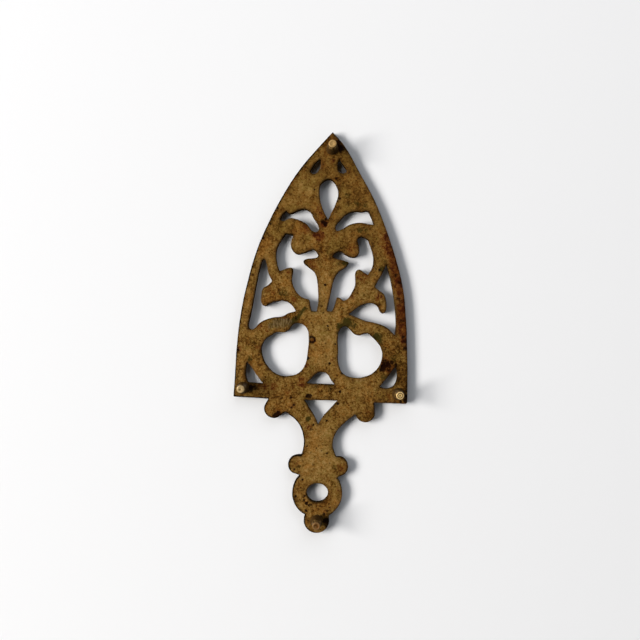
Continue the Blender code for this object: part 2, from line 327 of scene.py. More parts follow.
def brown_skin(g, place):
    """The colour of old cast brass: mottling, sandy grain, redder and greener parts, lines and freckles."""
    patches = g.noise(place, 0.06)
    mottle = g.noise(g.stretch(place, (1.0, 0.7, 1.0)), 0.26, 3.0, 0.65)
    grain = g.noise(place, 0.90, 3.0, 0.80)
    coarseness = g.ramp(g.axis(place, 1), 20.0, 75.0, 1.84, 1.26)
    sandy = g.math("MULTIPLY", g.math("SUBTRACT", grain, 0.5), coarseness)
    tone = g.math("ADD", g.weigh(0.5, (patches, 0.20), (mottle, 0.76)), sandy)
    skin = g.colours(g.math("ADD", tone, g.attribute("shade")), SKIN_TONES)
    aside = g.vector("ADD", place, (50.0, 20.0, 9.0))
    hue = g.weigh(0.5, (g.noise(aside, 0.09), 0.9), (g.noise(aside, 0.42, 3.0, 0.7), 1.0))
    skin = g.mix(g.ramp(hue, 0.50, 0.74, 0.0, 0.8), skin, REDDISH, "MULTIPLY")
    skin = g.mix(g.ramp(hue, 0.50, 0.28, 0.0, 0.9), skin, GREENISH, "MULTIPLY")
    skin = g.mix(g.math("MULTIPLY", thin_lines(g, place, mottle), 0.55), skin, SMOKY, "MULTIPLY")
    return g.mix(freckles(g, place), skin, FRECKLE)


def stained(g, place, skin):
    """The skin with its green, grey, rusty and dark stains, the painted shadows beside the feet, and the
    dirt along its edges, all ragged.
    """
    coarse = g.noise(place, 0.34, 3.0, 0.65)
    fine = g.noise(place, 0.95, 2.0, 0.6)
    green = g.ramp(g.weigh(g.attribute("green"), (coarse, 1.7), (fine, 1.2)), 0.25, 0.85, 0.0, 0.90)
    skin = g.mix(green, skin, OLIVE)
    ribs = g.noise(g.stretch(place, (1.5, 0.45, 1.0)), 1.0, 2.0, 0.5, 0.6)
    grey = g.ramp(g.weigh(g.attribute("grey"), (coarse, 1.0)), 0.25, 0.85, 0.0, 0.75)
    skin = g.mix(grey, skin, g.mix(g.ramp(ribs, 0.40, 0.60), GREY_DIRT, GREY_WORN))
    rust = g.ramp(g.weigh(g.attribute("rust"), (coarse, 1.5), (fine, 1.0)), 0.20, 0.80)
    skin = g.mix(g.math("MULTIPLY", rust, 0.75), skin, RUST)
    clots = g.weigh(rust, (g.noise(place, 0.42, 3.0, 0.7), 2.2))
    skin = g.mix(g.ramp(clots, 0.68, 1.20, 0.0, 0.92), skin, MAROON)
    # Dark stains, and painted shadows beside the feet.
    dark = g.ramp(g.weigh(g.attribute("dark"), (coarse, 1.3), (fine, 1.2)), 0.25, 0.80, 0.0, 0.95)
    skin = g.mix(dark, skin, DARK_STAIN_AND_SHADOW)
    edge = g.weigh(g.attribute("edge_mm"), (coarse, 1.0), (fine, 0.8))
    skin = g.mix(g.ramp(edge, 3.2, 0.4, 0.0, 0.60), skin, SMOKY, "MULTIPLY")
    grime = g.weigh(g.attribute("grime"), (g.noise(place, 0.10), 1.4))
    grime = g.math("MULTIPLY", g.ramp(edge, 1.15, 0.35), grime, clamp=True)
    return g.mix(grime, skin, EDGE_DIRT)


def top_wear(g, place, upright):
    """How far irons have rubbed the top face bright, and the colour of what they rubbed."""
    rubbed = g.noise(place, 0.06, 3.0, 0.55)
    streak = g.noise(g.stretch(place, (3.4, 0.12, 1.0)), 1.0, 3.0, 0.6)
    blotch = g.noise(place, 0.30, 3.0, 0.6)
    wear = g.math("ADD", g.ramp(rubbed, 0.30, 0.62, 0.15, 0.80), g.ramp(streak, 0.35, 0.65, -0.10, 0.10))
    wear = g.math("ADD", wear, g.ramp(blotch, 0.38, 0.62, -0.22, 0.22))
    wear = g.math("MULTIPLY", wear, g.ramp(upright, 0.55, 0.95), clamp=True)
    return wear, g.mix(g.ramp(streak, 0.30, 0.72), WORN_DULL, WORN_BRIGHT)


def plate_brass():
    """The casting: brown stained underside, walls painted near black as shade, and a worn top face."""
    g = Graph(bpy.data.materials.new("plate_brass"))
    place = g.place_mm()
    upright = g.axis(g.node("NewGeometry", {}, "Normal"), 2)
    wall = g.ramp(g.math("ABSOLUTE", upright), 0.80, 0.30)
    wear, worn = top_wear(g, place, upright)
    skin = stained(g, place, brown_skin(g, place))
    # Painted shade: the walls are painted near black, whatever light reaches them.
    skin = g.mix(g.math("MULTIPLY", wall, 0.9), skin, WALL_PAINTED_SHADE)
    sand = g.noise(place, 2.0, 2.0, 0.6)
    lumps = g.noise(place, 0.45, 3.0, 0.55)
    g.set("Principled BSDF", {
        "Base Color": g.mix(wear, skin, worn),
        "Metallic": g.math("MULTIPLY", g.scale_add(wear, 0.55, 0.40), g.ramp(wall, 0.0, 0.8, 1.0, 0.0)),
        "Roughness": g.math("SUBTRACT", g.ramp(sand, 0.3, 0.7, 0.54, 0.66), g.math("MULTIPLY", wear, 0.26)),
        "Specular IOR Level": 0.0,
        "Normal": g.bump(sand, 0.10, 0.6, Normal=g.bump(lumps, 0.25, 0.6))})
    return g.owner


def foot_tip(g, place, dirt, details):
    """The worn end of one foot, with the groove, the middle and the mark that it has."""
    flat = g.stretch(place, (1.0, 1.0, 0.0))
    radius = g.vector("LENGTH", flat, output="Value")
    tip = g.mix(g.ramp(dirt, 0.42, 0.70, 0.0, 0.55), details["tip"], details["tip_dull"])
    if "ring" in details:
        off_ring = g.math("ABSOLUTE", g.math("SUBTRACT", radius, details["ring"]))
        tip = g.mix(g.ramp(off_ring, 0.44, 0.16, 0.0, 0.78), tip, GROOVE_DIRT)
    middle = details["radius"]
    tip = g.mix(g.ramp(radius, middle + 0.2, middle - 0.2, 0.0, 0.95), tip, details["centre"])
    if "mark" in details:
        away = g.vector("DISTANCE", flat, (*details["mark"], 0.0), "Value")
        tip = g.mix(g.ramp(away, 0.72, 0.40, 0.0, 0.95), tip, MARK_DIRT)
    return tip


def foot_brass(name, details):
    """A turned foot: sides darkened partly as painted shade, a tip worn bright, and what the lathe and the
    years left in it.
    """
    g = Graph(bpy.data.materials.new(name))
    place = g.place_mm()
    dirt = g.noise(place, 0.9, 3.0, 0.6)
    turning = g.noise(g.stretch(place, (0.15, 0.15, 2.2)), 1.0)
    height = g.axis(place, 2)
    worn = g.weigh(0.5, (dirt, 1.4), (turning, 1.2))
    worn = g.math("ADD", worn, g.ramp(height, 8.0, 1.0, -0.20, 0.10))
    # The sides' colour, darkened partly as painted shade, lighter where worn.
    side = g.mix(g.ramp(worn, 0.50, 0.90), FOOT_SIDE_WITH_PAINTED_SHADE, FOOT_SIDE_WORN)
    on_tip = g.ramp(g.math("ADD", height, g.math("MULTIPLY", dirt, 0.3)), 0.34, 0.14)
    g.set("Principled BSDF", {
        "Base Color": g.mix(on_tip, side, foot_tip(g, place, dirt, details)),
        "Metallic": g.ramp(on_tip, 0.0, 1.0, 0.10, 0.60),
        "Roughness": g.ramp(on_tip, 0.0, 1.0, 0.62, 0.48),
        "Specular IOR Level": 0.05,
        "Normal": g.bump(g.noise(place, 2.2, 2.0, 0.6), 0.06, 0.5)})
    return g.owner


# ---- the plate's outlines

LOOP_SPACING = 0.55  # mm between the points of a fine outline
LOOP_SOFTNESS = 0.42  # mm, how far a corner of an outline is rounded
FINE_STEPS = 4  # resampling steps per point while an outline is smoothed
RIVET_LIMIT = 10.0  # mm, wider than any rivet hole


def face_loops(node_object, height):
    """The closed edges of a node's flat face at that height, as lists of (x, y) arrays in millimetres."""
    work = bmesh.new()
    work.from_mesh(node_object.data)
    bmesh.ops.remove_doubles(work, verts=work.verts, dist=1e-6)
    edges = set()
    for edge in work.edges:
        level = all(abs(vertex.co.z / MM - height) < 0.01 for vertex in edge.verts)
        slopes = sorted(abs(face.normal.z) for face in edge.link_faces)
        if level and len(slopes) == 2 and slopes[0] < 0.9 < slopes[1]:
            edges.add(edge)
    loops = []
    while edges:
        edge = min(edges, key=lambda candidate: candidate.index)
        edges.discard(edge)
        start, vertex = edge.verts
        loop = [start.co.xy / MM, vertex.co.xy / MM]
        while vertex != start:
            edge = next(candidate for candidate in vertex.link_edges if candidate in edges)
            edges.discard(edge)
            vertex = edge.other_vert(vertex)
            if vertex != start:
                loop.append(vertex.co.xy / MM)
        loops.append(np.array(loop))
    work.free()
    return loops


def signed_area(loop):
    after = np.roll(loop, -1, axis=0)
    return 0.5 * float(np.sum(loop[:, 0] * after[:, 1] - after[:, 0] * loop[:, 1]))


def along(loop, count):
    """The loop resampled to count points at equal steps."""
    closed = np.vstack([loop, loop[:1]])
    steps = np.hypot(*np.diff(closed, axis=0).T)
    run = np.concatenate([[0.0], np.cumsum(steps)])
    targets = np.linspace(0.0, run[-1], count, endpoint=False)
    return np.stack([np.interp(targets, run, closed[:, axis]) for axis in (0, 1)], axis=1)


def soften(loop):
    """The loop with its facets smoothed and its corners rounded, at LOOP_SPACING."""
    length = float(np.sum(np.hypot(*(np.roll(loop, -1, axis=0) - loop).T)))
    count = max(24, round(length / LOOP_SPACING))
    fine = along(loop, count * FINE_STEPS)
    waves = np.fft.fftfreq(len(fine), d=length / len(fine)) * 2 * np.pi
    spectrum = np.fft.fft(fine[:, 0] + 1j * fine[:, 1]) * np.exp(-0.5 * (waves * LOOP_SOFTNESS) ** 2)
    smooth = np.fft.ifft(spectrum)
    return np.stack([smooth.real, smooth.imag], axis=1)[::FINE_STEPS]


class Outline:
    """One closed edge of the plate, with the metal on its left.

    Its reach says how far each point can move into the metal before the edge folds over itself.
    """

    def __init__(self, points):
        self.points = points
        before = np.roll(points, 1, axis=0)
        after = np.roll(points, -1, axis=0)
        forward = after - before
        forward /= np.hypot(*forward.T)[:, None]
        self.inward = np.stack([-forward[:, 1], forward[:, 0]], axis=1)
        first = points - before
        second = after - points
        sideways = first[:, 0] * second[:, 1] - first[:, 1] * second[:, 0]
        turn = np.arctan2(sideways, (first * second).sum(axis=1))
        step = 0.5 * (np.hypot(*first.T) + np.hypot(*second.T))
        reach = 0.7 / np.maximum(turn / step, 1e-3)
        near = [np.roll(reach, shift) for shift in range(-3, 4)]
        self.reach = np.mean([np.roll(np.min(near, axis=0), shift) for shift in (-1, 0, 1)], axis=0)

    def inset(self, distance):
        """The outline moved into the material, less where it turns too tightly."""
        return self.points + self.inward * np.minimum(distance, self.reach)[:, None]


def box_centre(name):
    low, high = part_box(name)
    return np.array([(low[0] + high[0]) / 2, (low[1] + high[1]) / 2]) / MM


def is_rivet_hole(loop, centre):
    """Whether the loop is a small one around that centre."""
    middle = (loop.min(axis=0) + loop.max(axis=0)) / 2
    return np.hypot(*(middle - centre)) < 0.5 and np.ptp(loop[:, 0]) < RIVET_LIMIT


def plate_outlines():
    """The plate's outer edge and openings, and its rivet holes as (centre, lower radius, upper radius)."""
    centres = [box_centre(name) for name in FEET]
    upper = face_loops(PLATE, TOP_FACE)
    loops = []
    rivets = []
    for loop in face_loops(PLATE, UNDERSIDE):
        centre = next((place for place in centres if is_rivet_hole(loop, place)), None)
        if centre is None:
            loops.append(loop)
        else:
            mouth = next(other for other in upper if is_rivet_hole(other, centre))
            rivets.append((centre, np.ptp(loop[:, 0]) / 2, np.ptp(mouth[:, 0]) / 2))
    outer = max(loops, key=lambda loop: abs(signed_area(loop)))
    outlines = []
    for loop in loops:
        wanted = 1.0 if loop is outer else -1.0
        outlines.append(Outline(soften(loop if signed_area(loop) * wanted > 0 else loop[::-1])))
    return outlines, rivets


# ---- stains and pits of the underside

# Each is (x, y, radius, strength), in millimetres. Dark spots are also pits, a little way into the metal.
# The dark spots close to the four feet, from (-5.6, 114.6) to (-5, 117.6), from (-6.6, -116.4) to
# (-3.4, -114.6), at (43.6, -36.2) and (41, -35.4), and from (-53.4, -31) to (-49.8, -40.9), are painted
# shadows of the feet; they sink as pits like the others.
DARK_SPOTS_AND_FOOT_SHADOWS = [
    (1, 67, 1.4, 0.9), (2.7, 68.5, 1.3, 0.9), (0.9, 69.9, 0.9, 0.8), (-4.6, 95.4, 0.8, 0.8),
    (8.6, 88, 0.7, 0.6), (-7.2, 83.2, 0.9, 0.7), (-6, 81.4, 0.8, 0.7), (31, 76, 0.9, 0.9),
    (34.6, 66, 0.9, 0.7), (39.2, 57, 1.1, 0.8), (19.9, 97, 0.7, 0.8), (-0.4, 29.4, 0.8, 0.9),
    (-2.9, 4.2, 0.8, 0.7), (-3.2, 2, 0.7, 0.7), (1.3, 16.3, 0.8, 0.7), (-1.7, 14.5, 0.6, 0.6),
    (0.2, 12, 0.6, 0.7), (-8, -7, 0.6, 0.9), (-2, -6.7, 0.5, 0.6), (8.6, -16.2, 1, 0.9), (-5, -19, 0.7, 1),
    (-13, -24.7, 0.7, 0.8), (-40.6, -18.3, 2.4, 1), (-38.2, -20.3, 2.2, 1), (-39, -16.8, 1.6, 0.9),
    (-12, -36.2, 0.8, 0.9), (-6.5, -34.8, 0.7, 0.8), (-3.3, -39.5, 0.6, 0.6), (6.4, -39.5, 1.3, 1),
    (7.7, -39.5, 1.2, 1), (18, -41, 0.8, 0.8), (16, -45.4, 1, 0.7), (17.5, -47.2, 0.8, 0.7),
    (25.7, -51, 1.5, 1), (27.4, -52, 1.6, 1), (-4.4, -54.5, 0.7, 0.8), (3.6, -57.3, 0.7, 0.8),
    (5, -60, 0.9, 0.7), (-5.5, -74.6, 0.8, 0.8), (-2, -73, 0.5, 0.7), (1, -71.7, 0.5, 0.7),
    (-6.9, -75.8, 0.5, 0.6), (7, -70.5, 0.6, 0.7), (2.7, -82, 0.6, 0.6), (14.3, -85, 0.8, 0.7),
    (9, -91.5, 0.7, 1), (12.8, -101.7, 0.8, 0.9), (7.3, -101.4, 0.6, 0.9), (7.5, -104, 0.9, 0.9),
    (6, -105.9, 1, 1), (4.3, -107.2, 0.9, 0.8), (2.9, -106.7, 0.6, 0.8), (5.9, -110.4, 0.7, 1),
    (-9, -108, 0.9, 0.6), (-6.8, -110.2, 0.9, 0.6), (-5, -112.2, 0.9, 0.7), (-42.4, 50.6, 1, 0.6),
    (-43.8, 37, 1.3, 0.7), (-46.4, 32.6, 1.2, 0.7), (-47, 21, 1.4, 0.6), (-50.4, -4, 1.4, 0.7),
    (-51, -8, 1.2, 0.7), (-49.5, -1, 1.2, 0.6), (51.6, -13, 1.2, 0.7), (-37.4, 60, 1.6, 0.6),
    (-33.5, 40, 0.7, 0.8), (21, 7.4, 0.9, 0.6), (16.8, 8.4, 1, 0.7), (-5.6, 114.6, 2.6, 0.9),
    (-3, 112.4, 2, 0.8), (-8, 113.6, 1.6, 0.8), (-5, 117.6, 2, 0.7), (-6.6, -116.4, 2.4, 0.9),
    (-7.2, -119, 1.8, 0.8), (-3.4, -114.6, 1.6, 0.8), (43.6, -36.2, 2.4, 0.8), (41, -35.4, 1.8, 0.8),
    (-53.4, -31, 1, 0.8), (-53.4, -34, 1.2, 0.9), (-53.2, -37.4, 1.3, 0.9), (-52.6, -40.2, 1.4, 1),
    (-49.8, -40.9, 0.9, 0.8), (-33.6, -43, 0.9, 0.9), (-10.9, -43.6, 0.8, 0.9), (-46, 22.6, 1.3, 0.7),
    (-48.6, 9, 2, 0.6), (-43.2, -17, 1.4, 0.9), (-41.4, -21.4, 1.1, 0.8), (-37.2, -21.4, 1.5, 0.9),
    (-45.9, -18.4, 1.1, 0.8),
]
RUST_SPOTS = [
    (5.8, -5, 1.9, 0.75), (-48.5, 10.4, 2.3, 1.3), (-50.2, -3, 2.2, 1.1), (24, 94, 4.5, 0.4),
    (26, 84, 3, 0.35), (4.2, 59.4, 2.8, 1.15), (6.6, 60.2, 2.2, 1.05), (2, 66.8, 2.4, 0.9),
    (5, 74.6, 2.6, 0.6), (3.8, 71.6, 2, 0.6), (14.5, 63.4, 4, 0.5), (20.5, 60.8, 2.2, 0.4),
    (2.2, 112, 2.6, 0.5), (4.2, 103, 2.2, 0.5), (-1.6, 106, 2.2, 0.4), (-37.4, 60.4, 2.4, 1.25),
    (-16.2, 52.2, 3.2, 0.5), (-23.4, 35.8, 3.4, 0.6), (-17.4, 23, 1.8, 0.6), (-34.2, 23.2, 2.6, 0.55),
    (-35.6, 26.6, 1.6, 0.4), (8.2, 41.8, 3.2, 0.5), (21.8, 35.4, 2.6, 0.45), (34.2, 26, 2, 0.55),
    (32, 23.4, 1.4, 0.6), (19, 20, 2, 0.6), (38.6, 3.2, 3.2, 0.5), (35, 1, 2.6, 0.4), (24, 9, 1.6, 0.4),
    (38.6, -11, 2.2, 0.5), (51, -12, 2, 0.6), (11.6, -31.6, 3.6, 0.6), (19, -37, 3.6, 0.4),
    (9.4, -21, 1.8, 0.5), (-43, -38.6, 2.6, 0.45), (-29, -49, 3.6, 0.4), (6.6, -58.6, 2.6, 0.5),
    (6.4, -65.6, 1.6, 0.4), (-15.4, -82.4, 3.4, 0.55), (14.6, -80.4, 3.2, 0.45), (-13.2, -98.6, 3, 0.45),
    (12.8, -98, 2.8, 0.4), (-9.4, -107.4, 2.4, 0.5), (-6, -111, 1.8, 0.5), (-6.4, -17.2, 1.3, 0.5),
    (-48.8, 10.4, 2.8, 1), (-39.6, -19, 4.2, 0.8), (26.6, -51.6, 3, 0.5), (16.6, -46.2, 2.4, 0.5),
    (29, -34.5, 2.6, 0.5), (36, -34.6, 3, 0.6), (1.2, 45, 1.4, 0.4),
]
GREY_SPOTS = [(21.6, 5.4, 2.6, 0.9), (25, 5, 3, 1), (28.8, 4.2, 3, 0.9), (32.4, 2.8, 2.4, 0.7)]
GREEN_SPOTS = [
    (-14.4, 6.5, 3, 0.95), (-10.7, 4.3, 2.2, 0.95), (18.4, 6.8, 1.8, 0.9), (-9.2, 0, 1.4, 0.7),
    (-18.4, 5, 2, 0.7), (-33.4, -1.6, 2.4, 1), (-35.4, -4, 1.4, 0.8), (-35.4, 40.6, 2, 0.7),
    (-37.4, 45.2, 1.6, 0.6), (-31.8, 30.6, 1.2, 0.5), (-12.2, 42.8, 2, 0.8), (-8.6, 42.2, 1.8, 0.6),
    (11.6, 14.6, 1.1, 0.9), (12.7, 13, 1.1, 0.95), (13.8, 11.6, 1.2, 0.95), (14.8, 10.3, 1.2, 0.95),
    (15.8, 9, 1.3, 1), (17.4, 7.4, 1.6, 1), (18.8, 5.8, 1.3, 0.9), (-44, -15, 2.4, 0.5),
    (-38.6, -25.4, 2, 0.6), (44.4, -18, 2.2, 0.5), (-13, 79.8, 2.4, 0.43), (-17.5, 79.2, 3, 0.5),
    (-22.6, 79, 2.4, 0.43), (-11.6, 85, 1.6, 0.43), (-16.6, 84.6, 1.6, 0.36), (-20.4, 64, 2.4, 0.5),
    (-24.6, 64.2, 2.2, 0.43), (25.4, 23.6, 3, 0.48), (-26.4, 25, 2.6, 0.35), (-6, -34, 2.4, 0.5),
    (4.6, -34.6, 2, 0.45), (-10.6, -83, 1.6, 0.5), (11.6, -83.4, 1.8, 0.5), (6.9, -53.7, 1.5, 1),
    (20, 64, 2.2, 0.29), (-2.4, 49.6, 2, 0.5), (5, 47, 1.6, 0.4),
]
# Broad lighter and darker areas of the underside, each (x, y, radius, amount).
SHADE_AREAS = [
    (0, 112, 16, -0.09), (-14, 88, 12, -0.05), (2, 72, 8, -0.08), (14, 64, 9, -0.05), (-24, 68, 9, -0.06),
    (30, 68, 10, -0.04), (-12, 49, 8, -0.09), (4, 47, 7, -0.06), (-47, 5, 9, -0.1), (-45, -16, 12, -0.18),
    (24, 10, 7, -0.1), (12, 90, 10, 0.02), (0, 28, 12, 0.1), (0, 0, 15, 0.12), (0, -14, 12, 0.08),
    (-24, 22, 9, 0.06), (38, 42, 7, 0.06), (-24, -28, 10, 0.1), (14, -36, 12, -0.04), (-38, -39, 6, -0.06),
    (-30.5, -50, 4.5, -0.18), (0, -62, 12, 0.12), (0, -82, 14, 0.14), (0, -99, 12, 0.05),
    (0, -110, 9, -0.08), (45, -8, 9, -0.04), (36, -36, 8, -0.08), (-24, 12, 7, 0.09), (48, 24, 6, 0.08),
    (36, 36, 8, 0.05), (12, -12, 6, -0.12), (36, -12, 6, -0.1), (-24, -47, 6, 0.06), (24, -24, 6, 0.08),
    (-12, 72, 5, 0.07), (-48, -25, 5, -0.1), (-36, -34, 5, 0.06), (-24, 96, 6, 0.07), (-11, 107, 5, -0.11),
    (24, 94, 6, -0.09), (-12, 84, 4.5, -0.07), (34, 66, 7, -0.06), (24, 60, 5, -0.05), (12, 48, 5, -0.06),
    (36, 49, 4.5, -0.06), (-12, 12, 4, -0.06), (2, -108, 4, 0.06), (-24, 12, 4, 0.06), (-48, -11, 4, 0.07),
    (-36, 48, 5, -0.06), (-36, 24, 6, 0.05), (0, 121, 5, -0.1),
]
# The reddish strip along the outer edge on the -X side.
RUST_BAND = {"from_y": -12.0, "to_y": 66.0, "width": 7.6, "strength": 0.84}
PIT_RING = (6.5, -4.8, 1.75, 0.80)  # x, y, radius and half width of the one ring-shaped pit
PIT_DEPTH = 0.28  # mm
OPENING_GRIME = 0.50  # how dark the dirt along the edges of the openings is
RIM_GRIME = {"right": 1.00, "left": 0.40}  # the same along the outer edge


def spot_field(points, spots):
    """From its strength in the middle of each spot to 0 a little outside it."""
    field = np.zeros(len(points))
    for x, y, radius, strength in spots:
        away = np.hypot(points[:, 0] - x, points[:, 1] - y) / radius
        field = np.maximum(field, strength * np.clip(1.6 - away, 0.0, 1.0))
    return field


def dark_and_shadow_field(points):
    """The dark spots, with the painted shadows of the feet among them, and the ring-shaped pit, which is
    open to one side.
    """
    x, y, radius, half_width = PIT_RING
    across, up = points[:, 0] - x, points[:, 1] - y
    ring = np.clip(1.5 - np.abs(np.hypot(across, up) - radius) / half_width, 0.0, 1.0)
    ring *= np.clip(np.abs(np.arctan2(up, across) - 0.2) * 2.5 - 0.8, 0.0, 1.0)
    return np.maximum(spot_field(points, DARK_SPOTS_AND_FOOT_SHADOWS), ring)


def rust_band(points, rim):
    """The reddish strip along the outer edge of the body, where rim is the distance from that edge."""
    band = RUST_BAND
    run = np.clip((points[:, 1] - band["from_y"]) / 10.0, 0.0, 1.0)
    run *= np.clip((band["to_y"] - points[:, 1]) / 8.0, 0.0, 1.0)
    run *= points[:, 0] < 0.0
    return run * np.clip(1.6 - rim * 1.4 / band["width"], 0.0, 1.0) * band["strength"]


def shade_field(points):
    """The broad lightness of the skin: 0 is ordinary."""
    field = np.zeros(len(points))
    for x, y, radius, amount in SHADE_AREAS:
        away = np.hypot(points[:, 0] - x, points[:, 1] - y) / radius
        field += amount * np.exp(-away ** 2)
    return field


def stains(points, rim):
    """What the shader needs to know about the underside at those points."""
    on_rim = np.clip(4.0 - rim, 0.0, 1.0)
    rim_grime = np.where(points[:, 0] > 0.0, RIM_GRIME["right"], RIM_GRIME["left"])
    return {
        "rust": np.maximum(spot_field(points, RUST_SPOTS), rust_band(points, rim)),
        "dark": dark_and_shadow_field(points),
        "green": spot_field(points, GREEN_SPOTS),
        "grey": spot_field(points, GREY_SPOTS),
        "shade": shade_field(points),
        "grime": OPENING_GRIME + (rim_grime - OPENING_GRIME) * on_rim,
    }


# ---- the fine plate

UNDER_ARRIS = 0.35  # mm, radius of the underside's edges
TOP_ARRIS = 0.60  # the same on the worn top face
WALL_LEVELS = 2  # rings between the two arrises
FILE_MARKS = 0.06  # mm, how deep the walls' unevenness is
RING_INSETS = (0.95, 1.5)  # mm, rows of points that follow the outlines on the flat faces
ROW_SPACING = 0.42  # mm between points of those rows
PIT_SPACING = 0.26  # mm between points of a pit
UNDER_SPACING = 0.95  # mm between the free points of the underside
TOP_SPACING = 1.15
CAST_SWELL = 0.055  # mm, the casting's unevenness
FLAT_AROUND_FOOT = 5.2  # mm, radius that is kept flat for a foot's shoulder
RIVET_SIDES = 48
COUNTERSINK_SLOPE = 0.69  # mm that a countersink's radius grows by, per mm of height


def hex_points(spacing):
    """A triangular grid of points over the plate's box."""
    row_step = spacing * math.sqrt(3) / 2
    rows = []
    for index, y in enumerate(np.arange(PLATE_LOW.y, PLATE_HIGH.y, row_step)):
        xs = np.arange(PLATE_LOW.x + spacing / 2 * (index % 2), PLATE_HIGH.x, spacing)
        rows.append(np.stack([xs, np.full(len(xs), y)], axis=1))
    return np.vstack(rows)


def spot_points(spots):
    """Closer points in and around each small spot, so that its pit has a shape."""
    rows = []
    for x, y, radius, _ in spots:
        for ring in range(1, 5):
            turn = np.arange(5 * ring) * 2 * np.pi / (5 * ring) + ring
            around = np.stack([np.cos(turn), np.sin(turn)], axis=1)
            rows.append((x, y) + radius * ring * 0.36 * around)
    return np.vstack(rows)


def nearby(cells, column, row):
    """What a cell of a grid and the eight around it hold."""
    return [item for across in (-1, 0, 1) for up in (-1, 0, 1)
            for item in cells.get((column + across, row + up), ())]


class EdgeFinder:
    """Finds how far points lie from the plate's edges, positive inside the metal."""

    def __init__(self, outlines):
        self.points = np.vstack([outline.points for outline in outlines])
        self.inward = np.vstack([outline.inward for outline in outlines])
        self.cell = 4.0
        self.buckets = {}
        for index, key in enumerate(map(tuple, np.floor(self.points / self.cell).astype(int))):
            self.buckets.setdefault(key, []).append(index)

    def depth(self, points):
        """Signed distance to the nearest edge point, with everything beyond a cell or two as far."""
        depth = np.full(len(points), 9.0)
        keys = np.floor(points / self.cell).astype(int)
        cells, group = np.unique(keys, axis=0, return_inverse=True)
        group = group.ravel()
        for number, (column, row) in enumerate(cells):
            near = nearby(self.buckets, column, row)
            if not near:
                continue
            members = np.nonzero(group == number)[0]
            offset = points[members, None, :] - self.points[near][None, :, :]
            distance = np.hypot(offset[..., 0], offset[..., 1])
            best = distance.argmin(axis=1)
            side = (offset[np.arange(len(members)), best] * self.inward[near][best]).sum(axis=1)
            depth[members] = distance.min(axis=1) * np.where(side >= 0, 1.0, -1.0)
        return depth


def inside_loops(points, loops):
    """True for the points inside the outermost loop and outside its holes."""
    starts = np.vstack(loops)
    ends = np.vstack([np.roll(loop, -1, axis=0) for loop in loops])
    inside = np.zeros(len(points), bool)
    for first in range(0, len(points), 2000):
        x, y = points[first:first + 2000, 0:1], points[first:first + 2000, 1:2]
        crosses = (starts[:, 1] > y) != (ends[:, 1] > y)
        rise = np.where(ends[:, 1] == starts[:, 1], 1.0, ends[:, 1] - starts[:, 1])
        meets = starts[:, 0] + (y - starts[:, 1]) / rise * (ends[:, 0] - starts[:, 0])
        inside[first:first + 2000] = (crosses & (x < meets)).sum(axis=1) % 2 == 1
    return inside


def spread_out(points, spacing, taken):
    """The points that keep about that spacing from each other and from the taken ones, in order."""
    cells = {}
    for point in taken:
        cells.setdefault((int(point[0] // spacing), int(point[1] // spacing)), []).append(point)
    kept = []
    for point in points:
        column, row = int(point[0] // spacing), int(point[1] // spacing)
        near = nearby(cells, column, row)
        if all((point[0] - other[0]) ** 2 + (point[1] - other[1]) ** 2 > spacing ** 2 for other in near):
            kept.append(point)
            cells.setdefault((column, row), []).append(point)
    return np.array(kept).reshape(-1, 2)


def fill_face(loops, free):
    """Triangles over the face between the loops: indices into the loops' points, then the free ones."""
    points = np.vstack(loops + [free])
    constraints = []
    start = 0
    for loop in loops:
        count = len(loop)
        constraints += [(start + index, start + (index + 1) % count) for index in range(count)]
        start += count
    result = delaunay_2d_cdt([Vector(point) for point in points.tolist()], constraints, [], 0, 1e-7)
    source = [ids[0] if ids else np.hypot(*(points - place).T).argmin()
              for place, ids in zip(result[0], result[3])]
    triangles = np.array([[source[corner] for corner in face] for face in result[2]])
    first, second, third = triangles.T
    triangles = triangles[(first != second) & (second != third) & (third != first)]
    middles = points[triangles].mean(axis=1)
    return triangles[inside_loops(middles, loops)]


def swell(points, seed, size):
    """Slow unevenness of a cast surface, from -1 to 1."""
    return np.array([
        noise.fractal(Vector((x / size, y / size, seed)), 0.8, 2.1, 3) for x, y in points.tolist()])


class MeshParts:
    """Collects vertices and faces for one mesh, with a value per vertex for each attribute."""

    def __init__(self):
        self.places = []
        self.faces = []
        self.values = {name: [] for name in ("edge_mm", "rust", "dark", "green", "grey", "shade", "grime")}
        self.count = 0

    def add(self, places, **values):
        """Adds vertices and returns the index of the first."""
        first = self.count
        self.places.append(places)
        self.count += len(places)
        for name, rows in self.values.items():
            rows.append(values.get(name, np.zeros(len(places))))
        return first

    def add_wall(self, firsts, count):
        """Quads between closed rings of that many vertices, each given by its first vertex."""
        for lower, upper in zip(firsts, firsts[1:]):
            for index in range(count):
                after = (index + 1) % count
                self.faces.append((lower + index, lower + after, upper + after, upper + index))

    def build(self, name):
        mesh = bpy.data.meshes.new(name)
        mesh.from_pydata((np.vstack(self.places) * MM).tolist(), [], self.faces)
        for attribute, rows in self.values.items():
            layer = mesh.attributes.new(attribute, "FLOAT", "POINT")
            layer.data.foreach_set("value", np.concatenate(rows).astype(np.float32))
        return mesh


def edge_profile():
    """The plate's edge as (inset, height), from the underside up to the top face."""
    low, high = UNDER_ARRIS, TOP_ARRIS
    share = 1 - math.sqrt(0.5)
    span = TOP_FACE - high - (UNDERSIDE + low)
    profile = [(low, UNDERSIDE), (low * share, UNDERSIDE + low * share), (0.0, UNDERSIDE + low)]
    for step in range(1, WALL_LEVELS + 1):
        profile.append((0.0, UNDERSIDE + low + span * step / (WALL_LEVELS + 1)))
    profile += [(0.0, TOP_FACE - high), (high * share, TOP_FACE - high * share), (high, TOP_FACE)]
    return profile


